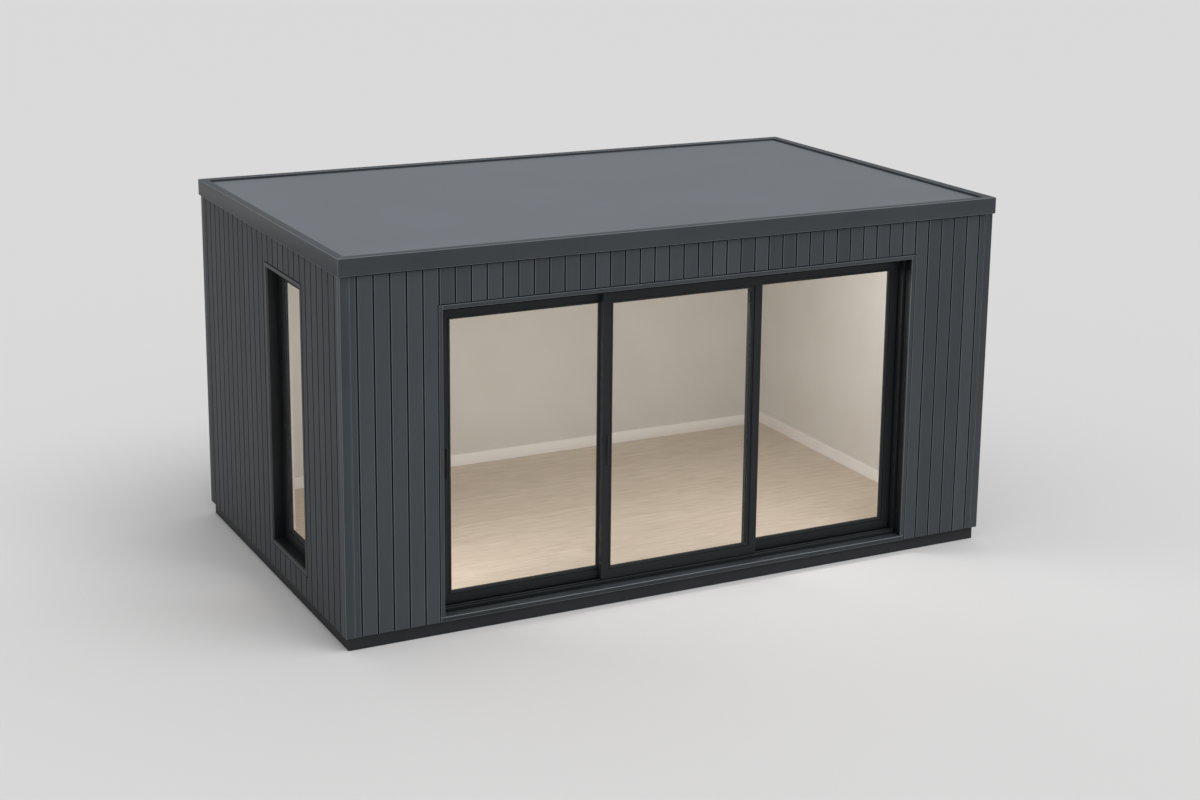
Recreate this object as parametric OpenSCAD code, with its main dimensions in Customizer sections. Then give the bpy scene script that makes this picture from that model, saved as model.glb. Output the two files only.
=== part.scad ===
// Garden office pod: a flat-roofed timber-framed room clad in vertical boards, with a
// three-panel sliding glass door in the front and a tall fixed window in the left wall.
// Millimetres. +Z is up, the front faces -Y, and the origin is the centre of the base.

/* [Overall] */
// Width over the roof trim, along X
roof_w = 4816; // [4200:1:5400]
// Depth over the roof trim, along Y
roof_d = 2916; // [2600:1:3400]
// Height from the ground to the top of the roof trim
total_h = 2500; // [2400:1:2700]

/* [Base and floor] */
// Height of the plinth that the walls stand on
plinth_h = 90; // [75:1:120]
// How far the plinth stands in behind the wall face
plinth_inset = 20; // [10:1:40]
// Height of the finished floor above the ground
floor_h = 150; // [142:1:155]
// Thickness of the oak floor boards
floor_board_t = 15; // [10:1:20]

/* [Walls] */
// Thickness of the insulated wall without its cladding
wall_core_t = 150; // [140:1:200]
// Thickness of the cladding boards
cladding_t = 20; // [16:1:25]
// Width of each face of a corner trim
corner_w = 55; // [45:1:80]
// Height of the skirting boards
skirting_h = 90; // [60:1:140]
// Thickness of the skirting boards
skirting_t = 18; // [12:1:22]

/* [Roof] */
// Height of the roof trim
fascia_h = 113; // [100:1:150]
// Thickness of the roof trim, seen from above
fascia_t = 60; // [40:1:80]
// How far the roof trim stands out past the wall face
fascia_overhang = 16; // [8:1:30]
// Depth of the roof surface below the top of the trim
roof_recess = 18; // [12:1:50]
// Thickness of the roof membrane and its board
membrane_t = 17; // [10:1:25]
// Thickness of the ceiling lining
ceiling_t = 20; // [12:1:30]

/* [Door] */
// Clear width of the door opening
door_w = 3466; // [3000:1:3700]
// Height of the top of the door opening above the ground
door_top = 2120; // [2000:1:2140]
// Thickness of the sill board
sill_t = 31; // [25:1:36]
// Width of the trim that frames the door opening
surround_w = 27; // [20:1:40]
// How far the trims stand out past the cladding
trim_proud = 3; // [1:1:6]
// Depth from the wall face to the door frame
door_recess = 68; // [50:1:76]
// Thickness of a sliding panel
sash_t = 36; // [30:1:38]
// Width of the frame's jamb seen beside the panels
jamb_step = 20; // [12:1:30]
// Width of the front face of a panel's stiles
stile_w = 56; // [50:1:70]
// Height of the front face of a panel's rails
rail_h = 62; // [50:1:76]
// Width of the set-back glazing bead round the glass
bead_w = 16; // [12:1:24]
// How far the bead is set back from the panel's face
bead_setback = 8; // [5:1:12]
// Overlap of two neighbouring panels when the door is shut
sash_overlap = 68; // [56:1:90]
// Thickness of the sealed glass units
glass_t = 16; // [12:1:20]
// Distance of the pulls' centre line from their panel's edge
pull_inset = 36; // [26:1:36]
// Length of a door pull
pull_h = 210; // [150:1:260]
// Width of a door pull
pull_w = 18; // [14:1:22]
// Height of the middle of the left panel's pull above the ground
left_pull_z = 1090; // [950:1:1200]
// Height of the middle of the middle panel's pull above the ground
middle_pull_z = 1040; // [950:1:1200]
// How far the middle panel's pull stands out
middle_pull_proud = 12; // [6:1:20]
// How far the left panel's flush pull stands out
left_pull_proud = 2.5; // [1:0.5:3]

/* [Window] */
// Width of the window opening
window_w = 732; // [600:1:900]
// Height of the bottom of the window opening above the ground
window_bottom = 247; // [200:1:400]
// Height of the top of the window opening above the ground
window_top = 2188; // [2000:1:2240]
// Distance of the window opening's back edge behind the middle of the pod
window_back_y = 10; // [-100:1:300]
// Width of the trim round the window opening
window_surround_w = 27; // [15:1:40]
// Depth from the wall face to the window frame
window_recess = 85; // [60:1:95]
// Width of the window frame's face
window_frame_w = 66; // [50:1:80]
// Thickness of the window frame
window_frame_t = 40; // [36:1:60]

/* [Clearances] */
// Gap between a sliding panel and what it moves past
slide_gap = 5; // [5:1:6]
// Gap between the two tracks' panels
track_gap = 8; // [8:1:9]
// Running clearance between a panel and its rail
run_gap = 0.3; // [0.2:0.1:0.5]

/* [Hidden] */
wall_w = roof_w - 2 * fascia_overhang;
wall_d = roof_d - 2 * fascia_overhang;
half_w = wall_w / 2;
half_d = wall_d / 2;
wall_t = wall_core_t + cladding_t;
wall_top = total_h - fascia_h;
wall_h = wall_top - plinth_h;
room_x = half_w - wall_t;
room_y = half_d - wall_t;
core_x = half_w - cladding_t;
core_y = half_d - cladding_t;
core_z = plinth_h;
roof_x = roof_w / 2 - fascia_t;
roof_y = roof_d / 2 - fascia_t;
membrane_top = total_h - roof_recess;
ceiling_z = wall_top - ceiling_t;

front_y = -half_d;
door_x = door_w / 2;
surround_x = door_x + surround_w;
surround_top = door_top + surround_w;
sill_top = plinth_h + sill_t;
frame_y = front_y + door_recess;
frame_lip = 4;
lip_gap = 6;
front_track_y = frame_y + frame_lip + lip_gap;
rear_track_y = front_track_y + sash_t + track_gap;
inner_y = front_y + wall_t;
track_base_t = 17;
track_lip_h = 29;
rail_t = 6;
sash_bottom = sill_top + track_lip_h + 3;
sash_top = door_top - 20;
head_bottom = sash_top + slide_gap;
head_lip_h = 10;
jamb_x = door_x - jamb_step;
sash_x = jamb_x - slide_gap;
sash_w = (2 * sash_x + 2 * sash_overlap) / 3;
sash_h = sash_top - sash_bottom;
bead_t = sash_t - 2 * bead_setback;
middle_x = -sash_w / 2;
right_x = sash_x - sash_w;

window_y0 = window_back_y - window_w;
window_h = window_top - window_bottom;
window_frame_x = -half_w + window_recess;
window_bead_edge = window_surround_w + window_frame_w;
window_glass_edge = window_bead_edge + bead_w;

clad_colour = [0.25, 0.26, 0.28];
trim_colour = [0.24, 0.25, 0.27];
frame_colour = [0.13, 0.14, 0.15];
plinth_colour = [0.14, 0.15, 0.16];
roof_colour = [0.40, 0.42, 0.44];
plaster_colour = [0.80, 0.77, 0.72];
oak_colour = [0.76, 0.66, 0.54];
glass_colour = [0.60, 0.70, 0.72, 0.35];

// A box given by its low and high corners.
module span(low, high) {
  translate(low) cube(high - low);
}

// A copy on each side of the X = 0 plane.
module both_sides() {
  for (side = [0, 1]) mirror([side, 0, 0]) children();
}

// A box with a rectangular hole through it along Y, given by its corners, the width of its sides
// and the height of its top and bottom.
module ring_y(low, high, side, rail) {
  difference() {
    span(low, high);
    span([low.x + side, low.y - 1, low.z + rail], [high.x - side, high.y + 1, high.z - rail]);
  }
}

// A box with a rectangular hole through it along X, given by its corners and border width.
module ring_x(low, high, border) {
  difference() {
    span(low, high);
    span([low.x - 1, low.y + border, low.z + border], [high.x + 1, high.y - border, high.z - border]);
  }
}

// Base and floor

module base_plinth() {
  px = half_w - plinth_inset;
  py = half_d - plinth_inset;
  color(plinth_colour) span([-px, -py, 0], [px, py, plinth_h]);
}

module floor_deck() {
  color(plinth_colour)
    span([-room_x, -room_y, plinth_h], [room_x, room_y, floor_h - floor_board_t]);
}

module floor_boards() {
  color(oak_colour)
    span([-room_x, -room_y, floor_h - floor_board_t], [room_x, room_y, floor_h]);
}

// Walls: the side walls run the full depth, the front and back stand between them.

module front_wall_left() {
  color(plaster_colour) span([-room_x, -core_y, core_z], [-surround_x, -room_y, wall_top]);
}

module front_wall_right() {
  color(plaster_colour) span([surround_x, -core_y, core_z], [room_x, -room_y, wall_top]);
}

module front_wall_head() {
  color(plaster_colour)
    span([-surround_x, -core_y, surround_top], [surround_x, -room_y, wall_top]);
}

module window_hole() {
  span([-half_w - 1, window_y0, window_bottom], [-room_x + 1, window_back_y, window_top]);
}

module left_wall() {
  color(plaster_colour) difference() {
    span([-core_x, -core_y, core_z], [-room_x, core_y, wall_top]);
    window_hole();
  }
}

module right_wall() {
  color(plaster_colour) span([room_x, -core_y, core_z], [core_x, core_y, wall_top]);
}

module back_wall() {
  color(plaster_colour) span([-room_x, room_y, core_z], [room_x, core_y, wall_top]);
}

// Cladding: one slab for each run of vertical boards, between the corner trims.

module front_cladding_left() {
  color(clad_colour)
    span([-half_w + corner_w, -half_d, plinth_h], [-surround_x, -core_y, wall_top]);
}

module front_cladding_right() {
  color(clad_colour)
    span([surround_x, -half_d, plinth_h], [half_w - corner_w, -core_y, wall_top]);
}

module front_cladding_head() {
  color(clad_colour)
    span([-surround_x, -half_d, surround_top], [surround_x, -core_y, wall_top]);
}

module left_cladding() {
  color(clad_colour) difference() {
    span([-half_w, -half_d + corner_w, plinth_h], [-core_x, half_d - corner_w, wall_top]);
    window_hole();
  }
}

module right_cladding() {
  color(clad_colour)
    span([core_x, -half_d + corner_w, plinth_h], [half_w, half_d - corner_w, wall_top]);
}

module back_cladding() {
  color(clad_colour)
    span([-half_w + corner_w, core_y, plinth_h], [half_w - corner_w, half_d, wall_top]);
}

// An angle that wraps the outer corner of the wall at high X and low Y.
module corner_trim() {
  out_x = half_w + trim_proud;
  out_y = -half_d - trim_proud;
  translate([0, 0, plinth_h]) linear_extrude(wall_h) polygon([
    [out_x, out_y],
    [out_x, -half_d + corner_w],
    [core_x, -half_d + corner_w],
    [core_x, -core_y],
    [half_w - corner_w, -core_y],
    [half_w - corner_w, out_y]
  ]);
}

module front_corner_trims() {
  color(trim_colour) both_sides() corner_trim();
}

module back_corner_trims() {
  color(trim_colour) both_sides() mirror([0, 1, 0]) corner_trim();
}

// Roof

module roof_deck() {
  color(plinth_colour)
    span([-roof_x, -roof_y, wall_top], [roof_x, roof_y, membrane_top - membrane_t]);
}

module roof_membrane() {
  color(roof_colour)
    span([-roof_x, -roof_y, membrane_top - membrane_t], [roof_x, roof_y, membrane_top]);
}

module ceiling() {
  color(plaster_colour) span([-room_x, -room_y, ceiling_z], [room_x, room_y, wall_top]);
}

// A mitred length of roof trim along the front edge of a roof of the given width and depth.
module fascia(across, deep) {
  ax = across / 2;
  ay = -deep / 2;
  color(trim_colour) translate([0, 0, wall_top]) linear_extrude(fascia_h) polygon([
    [-ax, ay],
    [ax, ay],
    [ax - fascia_t, ay + fascia_t],
    [-ax + fascia_t, ay + fascia_t]
  ]);
}

module front_fascia() {
  fascia(roof_w, roof_d);
}

module back_fascia() {
  rotate([0, 0, 180]) fascia(roof_w, roof_d);
}

module left_fascia() {
  rotate([0, 0, -90]) fascia(roof_d, roof_w);
}

module right_fascia() {
  rotate([0, 0, 90]) fascia(roof_d, roof_w);
}

// Door surround, frame and tracks

module door_sill() {
  color(trim_colour)
    span([-surround_x, front_y - trim_proud, plinth_h], [surround_x, inner_y, sill_top]);
}

module door_surround_sides() {
  color(trim_colour) both_sides()
    span([door_x, front_y - trim_proud, sill_top], [surround_x, frame_y, surround_top]);
}

module door_surround_head() {
  color(trim_colour)
    span([-door_x, front_y - trim_proud, door_top], [door_x, frame_y, surround_top]);
}

module door_jambs() {
  color(frame_colour) both_sides()
    span([jamb_x, frame_y, sill_top], [surround_x, inner_y, surround_top]);
}

// A base with an upstanding lip along its front and back edges and a rail under each panel.
module door_sill_track() {
  color(frame_colour) {
    span([-jamb_x, frame_y, sill_top], [jamb_x, inner_y, sill_top + track_base_t]);
    for (y = [frame_y, inner_y - frame_lip])
      span([-jamb_x, y, sill_top], [jamb_x, y + frame_lip, sill_top + track_lip_h]);
    for (y = [front_track_y, rear_track_y])
      translate([0, y + sash_t / 2 - rail_t / 2, 0])
        span([-jamb_x, 0, sill_top], [jamb_x, rail_t, sash_bottom - run_gap]);
  }
}

module door_head_track() {
  color(frame_colour) {
    span([-jamb_x, frame_y, head_bottom], [jamb_x, inner_y, surround_top]);
    for (y = [frame_y, inner_y - frame_lip])
      span([-jamb_x, y, head_bottom - head_lip_h], [jamb_x, y + frame_lip, head_bottom]);
  }
}

// Sliding panels: a frame of stiles and rails with a set-back bead, the glass and the pull.

module sash_frame(x, y) {
  color(frame_colour) {
    ring_y([x, y, sash_bottom], [x + sash_w, y + sash_t, sash_top], stile_w, rail_h);
    ring_y(
      [x + stile_w, y + bead_setback, sash_bottom + rail_h],
      [x + sash_w - stile_w, y + sash_t - bead_setback, sash_top - rail_h],
      bead_w, bead_w
    );
  }
}

module sash_glass(x, y) {
  side = stile_w + bead_w;
  rail = rail_h + bead_w;
  y0 = y + (sash_t - glass_t) / 2;
  color(glass_colour)
    span([x + side, y0, sash_bottom + rail], [x + sash_w - side, y0 + glass_t, sash_top - rail]);
}

// A round-ended upright pull on the outer face of a panel's left stile.
module sash_pull(x, y, z, proud) {
  color(frame_colour) translate([x + pull_inset, y, z]) rotate([90, 0, 0])
    linear_extrude(proud) {
      square([pull_w, pull_h - pull_w], center = true);
      for (end = [-1, 1]) translate([0, end * (pull_h - pull_w) / 2]) circle(d = pull_w, $fn = 48);
    }
}

module left_door_frame() {
  sash_frame(-sash_x, rear_track_y);
}

module left_door_glass() {
  sash_glass(-sash_x, rear_track_y);
}

module left_door_handle() {
  sash_pull(-sash_x, rear_track_y, left_pull_z, left_pull_proud);
}

module middle_door_frame() {
  sash_frame(middle_x, front_track_y);
}

module middle_door_glass() {
  sash_glass(middle_x, front_track_y);
}

module middle_door_handle() {
  sash_pull(middle_x, front_track_y, middle_pull_z, middle_pull_proud);
}

module right_door_frame() {
  sash_frame(right_x, rear_track_y);
}

module right_door_glass() {
  sash_glass(right_x, rear_track_y);
}

// Window

module window_surround() {
  color(trim_colour) ring_x(
    [-half_w - trim_proud, window_y0, window_bottom],
    [window_frame_x, window_back_y, window_top],
    window_surround_w
  );
}

module window_frame() {
  back_x = window_frame_x + window_frame_t;
  color(frame_colour) {
    ring_x(
      [window_frame_x, window_y0, window_bottom],
      [back_x, window_back_y, window_top],
      window_bead_edge
    );
    ring_x(
      [window_frame_x + bead_setback, window_y0 + window_bead_edge, window_bottom + window_bead_edge],
      [back_x - bead_setback, window_back_y - window_bead_edge, window_top - window_bead_edge],
      bead_w
    );
  }
}

module window_glass() {
  edge = window_glass_edge;
  x0 = window_frame_x + (window_frame_t - glass_t) / 2;
  color(glass_colour) span(
    [x0, window_y0 + edge, window_bottom + edge],
    [x0 + glass_t, window_back_y - edge, window_top - edge]
  );
}

// Skirting boards inside the room

module back_skirting() {
  color(plaster_colour)
    span([-room_x, room_y - skirting_t, floor_h], [room_x, room_y, floor_h + skirting_h]);
}

module side_skirting() {
  color(plaster_colour) both_sides() span(
    [room_x - skirting_t, -room_y, floor_h],
    [room_x, room_y - skirting_t, floor_h + skirting_h]
  );
}

module front_skirting() {
  color(plaster_colour) both_sides() span(
    [surround_x, -room_y, floor_h],
    [room_x - skirting_t, -room_y + skirting_t, floor_h + skirting_h]
  );
}

base_plinth();
floor_deck();
floor_boards();
front_wall_left();
front_wall_right();
front_wall_head();
left_wall();
right_wall();
back_wall();
front_cladding_left();
front_cladding_right();
front_cladding_head();
left_cladding();
right_cladding();
back_cladding();
front_corner_trims();
back_corner_trims();
roof_deck();
roof_membrane();
ceiling();
front_fascia();
back_fascia();
left_fascia();
right_fascia();
door_sill();
door_sill_track();
door_head_track();
door_jambs();
door_surround_sides();
door_surround_head();
left_door_frame();
left_door_glass();
left_door_handle();
middle_door_frame();
middle_door_glass();
middle_door_handle();
right_door_frame();
right_door_glass();
window_surround();
window_frame();
window_glass();
back_skirting();
side_skirting();
front_skirting();
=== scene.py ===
"""Looks for the garden office pod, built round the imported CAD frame.

The pod is a flat-roofed timber room: vertical painted boards on four sides, a
three-panel sliding glass door in front, a tall fixed window in the left end, and
an oak-floored, plastered room inside. Every class below holds one sub-assembly,
its sizes in metres, and the methods that build and dress its pieces. Positions
come from the CAD nodes' boxes.
"""

from __future__ import annotations

import logging
import math
import random
from dataclasses import dataclass, field
from enum import Enum

import bmesh
import bpy
from mathutils import Matrix, Vector


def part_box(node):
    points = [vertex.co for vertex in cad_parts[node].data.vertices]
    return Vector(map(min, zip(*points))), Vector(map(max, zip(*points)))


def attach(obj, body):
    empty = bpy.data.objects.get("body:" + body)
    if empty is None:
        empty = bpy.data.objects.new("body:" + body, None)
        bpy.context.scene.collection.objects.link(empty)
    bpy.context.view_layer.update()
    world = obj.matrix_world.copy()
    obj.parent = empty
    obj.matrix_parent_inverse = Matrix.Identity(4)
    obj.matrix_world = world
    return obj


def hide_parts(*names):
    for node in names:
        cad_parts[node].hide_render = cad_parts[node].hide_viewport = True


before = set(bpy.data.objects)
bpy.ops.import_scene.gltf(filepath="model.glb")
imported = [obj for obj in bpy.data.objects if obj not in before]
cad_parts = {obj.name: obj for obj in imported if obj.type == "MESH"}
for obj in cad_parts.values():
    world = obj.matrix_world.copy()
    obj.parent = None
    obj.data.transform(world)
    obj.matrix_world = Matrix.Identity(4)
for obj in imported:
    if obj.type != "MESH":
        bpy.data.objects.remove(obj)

log = logging.getLogger("pod")
MM = 0.001
POD, LEFT_DOOR, MIDDLE_DOOR = "pod", "left_door", "middle_door"

Pair = tuple[float, float]
Triple = tuple[float, float, float]
Colour = tuple[float, float, float, float]
Section = tuple[Pair, ...]


# ---------------------------------------------------------------- node helpers


def linear(hex_colour: str) -> Colour:
    """Turns an sRGB hex colour into linear red, green, blue and alpha.

    Args:
        hex_colour: Six hex digits, with or without a leading hash.

    Returns:
        The linear colour with an alpha of 1.
    """
    digits = hex_colour.lstrip("#")
    channels = [int(digits[i : i + 2], 16) / 255 for i in (0, 2, 4)]
    low = [c / 12.92 if c <= 0.04045 else ((c + 0.055) / 1.055) ** 2.4 for c in channels]
    return (*low, 1.0)


def per_metre(size_mm: float) -> float:
    """Gives the texture scale whose features are size_mm across."""
    return 1000.0 / size_mm


def feed(tree: bpy.types.NodeTree, node: bpy.types.Node, inputs: dict) -> None:
    """Sets a node's inputs, each to a value or from another node's socket.

    Args:
        tree: The tree that the node is in.
        node: The node.
        inputs: Socket name, number or identifier to a value, or to the socket it is fed from.
    """
    for key, value in inputs.items():
        by_id = [s for s in node.inputs if s.identifier == key]
        socket = by_id[0] if by_id else node.inputs[key]
        if isinstance(value, bpy.types.NodeSocket):
            tree.links.new(value, socket)
        else:
            socket.default_value = value


def add(
    tree: bpy.types.NodeTree, kind: str, inputs: dict | None = None, **settings: object
) -> bpy.types.Node:
    """Adds a node with its settings, values and links.

    Args:
        tree: The node tree to add to.
        kind: The node's type name.
        inputs: Its inputs, as feed takes them.
        **settings: Properties of the node itself.

    Returns:
        The new node.
    """
    node = tree.nodes.new(kind)
    for name, value in settings.items():
        setattr(node, name, value)
    feed(tree, node, inputs or {})
    return node


def output(node: bpy.types.Node, identifier: str) -> bpy.types.NodeSocket:
    """Gives a node's output socket by identifier."""
    return next(s for s in node.outputs if s.identifier == identifier)


def maths(
    tree: bpy.types.NodeTree, operation: str, first: object, second: object
) -> bpy.types.NodeSocket:
    """Adds a sum of two values."""
    return add(tree, "ShaderNodeMath", {0: first, 1: second}, operation=operation).outputs[0]


def mix(
    tree: bpy.types.NodeTree, factor: bpy.types.NodeSocket, first: object, second: object
) -> bpy.types.NodeSocket:
    """Mixes two colours.

    Args:
        tree: The node tree to add to.
        factor: 0 for the first colour, 1 for the second.
        first: The first colour, as a linear colour or a socket.
        second: The second colour, likewise.

    Returns:
        The colour socket.
    """
    colours = {"Factor_Float": factor, "A_Color": first, "B_Color": second}
    return output(add(tree, "ShaderNodeMix", colours, data_type="RGBA"), "Result_Color")


def attribute(tree: bpy.types.NodeTree, name: str) -> bpy.types.NodeSocket:
    """Reads a mesh attribute in a material."""
    return add(tree, "ShaderNodeAttribute", attribute_name=name).outputs["Fac"]


# -------------------------------------------------------------------- finishes


@dataclass(frozen=True)
class Finish:
    """A surface finish: a named material made once and shared by its pieces.

    Sizes that end in mm are the real sizes of a pattern's features in millimetres.
    """

    name: str

    def material(self) -> bpy.types.Material:
        """Gives the finish's material, building it the first time.

        Returns:
            The material.
        """
        made = bpy.data.materials.get(self.name)
        if made is None:
            made = bpy.data.materials.new(self.name)
            made.use_nodes = True
            tree = made.node_tree
            self.dress(tree, tree.nodes["Principled BSDF"])
        return made

    def dress(self, tree: bpy.types.NodeTree, shader: bpy.types.Node) -> None:
        """Adds the finish's own nodes.

        Args:
            tree: The material's node tree.
            shader: Its Principled BSDF node.
        """
        raise NotImplementedError

    def noise(
        self,
        tree: bpy.types.NodeTree,
        size_mm: Triple,
        detail: float = 3.0,
        offset: float = 0.0,
    ) -> bpy.types.NodeSocket:
        """Adds noise on object coordinates with features of a real size.

        Args:
            tree: The material's node tree.
            size_mm: Feature size along X, Y and Z in millimetres.
            detail: How many finer layers the noise has.
            offset: How far the pattern is moved, to set two layers apart.

        Returns:
            The socket with the noise, about 0 to 1.
        """
        coords = add(tree, "ShaderNodeTexCoord")
        place = add(
            tree,
            "ShaderNodeMapping",
            {
                "Vector": coords.outputs["Object"],
                "Location": (offset, offset, offset),
                "Scale": tuple(per_metre(s) for s in size_mm),
            },
        )
        made = add(
            tree, "ShaderNodeTexNoise", {"Vector": place.outputs[0], "Scale": 1.0, "Detail": detail}
        )
        return made.outputs["Fac"]

    def between(
        self,
        tree: bpy.types.NodeTree,
        factor: bpy.types.NodeSocket,
        low: float,
        high: float,
        span: Pair = (0.25, 0.75),
    ) -> bpy.types.NodeSocket:
        """Maps a noise socket onto a range of plain values.

        Args:
            tree: The material's node tree.
            factor: The socket to map.
            low: The value at the start of span.
            high: The value at the end of span.
            span: The part of the incoming range that is used.

        Returns:
            The mapped socket.
        """
        node = add(
            tree,
            "ShaderNodeMapRange",
            {
                "Value": factor,
                "From Min": span[0],
                "From Max": span[1],
                "To Min": low,
                "To Max": high,
            },
        )
        return node.outputs["Result"]

    def blend(
        self, tree: bpy.types.NodeTree, factor: bpy.types.NodeSocket, first: str, second: str
    ) -> bpy.types.NodeSocket:
        """Mixes two hex colours by a factor."""
        return mix(tree, factor, linear(first), linear(second))

    def bump(
        self,
        tree: bpy.types.NodeTree,
        height: bpy.types.NodeSocket,
        depth_mm: float,
        strength: float,
    ) -> bpy.types.NodeSocket:
        """Adds a bump of a real depth.

        Args:
            tree: The material's node tree.
            height: The height pattern, 0 to 1.
            depth_mm: The depth of the pattern in millimetres.
            strength: How strongly it turns the surface.

        Returns:
            The normal socket.
        """
        node = add(
            tree,
            "ShaderNodeBump",
            {"Height": height, "Distance": depth_mm * MM, "Strength": strength},
        )
        return node.outputs["Normal"]


@dataclass(frozen=True)
class PaintedBoards(Finish):
    """Planed softwood boards under an opaque satin paint.

    The paint hides the colour of the wood, so what the eye gets is a faint upright
    grain, a slightly different tone from board to board and a broad soft sheen. A
    lighter colour on each long arris is a painted highlight, and near-black down the
    flanks is painted shade in the joints.
    """

    light: str = "#4c5054"
    dark: str = "#3b3f43"
    # Painted highlight: the colour laid on each long arris.
    arris: str = "#6d7277"
    # Painted shade: the near-black laid down the flanks, deep in each joint.
    flank_shade: str = "#0c0d0e"
    grain_mm: Triple = (5.0, 5.0, 420.0)
    cloud_mm: Triple = (260.0, 260.0, 700.0)
    grain_part: float = 0.42
    tone_part: float = 0.5
    cloud_part: float = 0.22
    roughness: Pair = (0.56, 0.68)
    grain_depth_mm: float = 0.35
    gloss: float = 0.2

    def dress(self, tree: bpy.types.NodeTree, shader: bpy.types.Node) -> None:
        """Adds board tone, upright grain, a painted highlight on the arrises and painted shade down
        the flanks.

        Args:
            tree: The material's node tree.
            shader: Its Principled BSDF node.
        """
        grain = self.noise(tree, self.grain_mm, detail=4.0)
        cloud = self.noise(tree, self.cloud_mm, detail=2.0, offset=3.1)
        tone = maths(tree, "MULTIPLY", attribute(tree, "tone"), self.tone_part)
        tone = maths(tree, "ADD", self.between(tree, grain, 0.0, self.grain_part), tone)
        tone = maths(tree, "ADD", tone, self.between(tree, cloud, 0.0, self.cloud_part))
        paint = self.blend(tree, tone, self.dark, self.light)
        # edge is 1 on the arris, where the highlight is painted, and -1 down the flanks, where the
        # shade is painted.
        edge = attribute(tree, "edge")
        painted_light = self.between(tree, edge, 0.0, 1.0, (0.0, 1.0))
        paint = mix(tree, painted_light, paint, linear(self.arris))
        painted_shade = self.between(tree, edge, 1.0, 0.0, (-1.0, 0.0))
        paint = mix(tree, painted_shade, paint, linear(self.flank_shade))
        feed(
            tree,
            shader,
            {
                "Base Color": paint,
                "Roughness": self.between(tree, grain, *self.roughness),
                "Normal": self.bump(tree, grain, self.grain_depth_mm, 0.28),
                "Specular IOR Level": self.gloss,
            },
        )


@dataclass(frozen=True)
class GrooveShadeSheet(Finish):
    """Black woven breather membrane behind the boards, near-black so that it paints the shade deep
    in each groove.
    """

    colour: str = "#0b0c0d"
    worn: str = "#141618"
    fleece_mm: float = 3.0
    roughness: Pair = (0.85, 0.98)

    def dress(self, tree: bpy.types.NodeTree, shader: bpy.types.Node) -> None:
        """Adds a dull fleecy black.

        Args:
            tree: The material's node tree.
            shader: Its Principled BSDF node.
        """
        fleece = self.noise(tree, (self.fleece_mm,) * 3, detail=2.0)
        feed(
            tree,
            shader,
            {
                "Base Color": self.blend(tree, fleece, self.colour, self.worn),
                "Roughness": self.between(tree, fleece, *self.roughness),
            },
        )


@dataclass(frozen=True)
class PowderCoat(Finish):
    """Polyester powder coat on folded or extruded metal.

    The baked powder leaves a fine orange peel, which breaks up the sheen, and a very
    even colour with only a slow drift across a length.
    """

    colour: str = "#3f4347"
    shade: str = "#393c40"
    roughness: float = 0.42
    roughness_spread: float = 0.05
    # Real peel is about 1 mm across: it is drawn 4 mm wide so that it shows at all.
    peel_mm: float = 4.0
    peel_depth_mm: float = 0.12
    drift_mm: float = 480.0
    gloss: float = 0.3

    def dress(self, tree: bpy.types.NodeTree, shader: bpy.types.Node) -> None:
        """Adds orange peel and slow drift.

        Args:
            tree: The material's node tree.
            shader: Its Principled BSDF node.
        """
        peel = self.noise(tree, (self.peel_mm,) * 3, detail=2.0)
        drift = self.noise(tree, (self.drift_mm,) * 3, detail=2.0, offset=1.7)
        drift = self.between(tree, drift, 0.0, 1.0)
        low, high = self.roughness - self.roughness_spread, self.roughness + self.roughness_spread
        feed(
            tree,
            shader,
            {
                "Base Color": self.blend(tree, drift, self.shade, self.colour),
                "Roughness": self.between(tree, peel, low, high),
                "Normal": self.bump(tree, peel, self.peel_depth_mm, 0.10),
                "Specular IOR Level": self.gloss,
            },
        )


@dataclass(frozen=True)
class RoofMembrane(Finish):
    """Single-ply rubber roof sheet: even mid grey, dull, with faint wandering patches."""

    colour: str = "#686e75"
    shade: str = "#60666d"
    stipple_mm: float = 6.0
    stipple_depth_mm: float = 0.3
    patch_mm: float = 620.0
    roughness: Pair = (0.50, 0.62)

    def dress(self, tree: bpy.types.NodeTree, shader: bpy.types.Node) -> None:
        """Adds a fine stipple and broad patches.

        Args:
            tree: The material's node tree.
            shader: Its Principled BSDF node.
        """
        stipple = self.noise(tree, (self.stipple_mm,) * 3, detail=2.0)
        patches = self.noise(tree, (self.patch_mm,) * 3, offset=5.3)
        tone = self.between(tree, patches, 0.0, 1.0)
        feed(
            tree,
            shader,
            {
                "Base Color": self.blend(tree, tone, self.shade, self.colour),
                "Roughness": self.between(tree, patches, *self.roughness),
                "Normal": self.bump(tree, stipple, self.stipple_depth_mm, 0.12),
            },
        )


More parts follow.
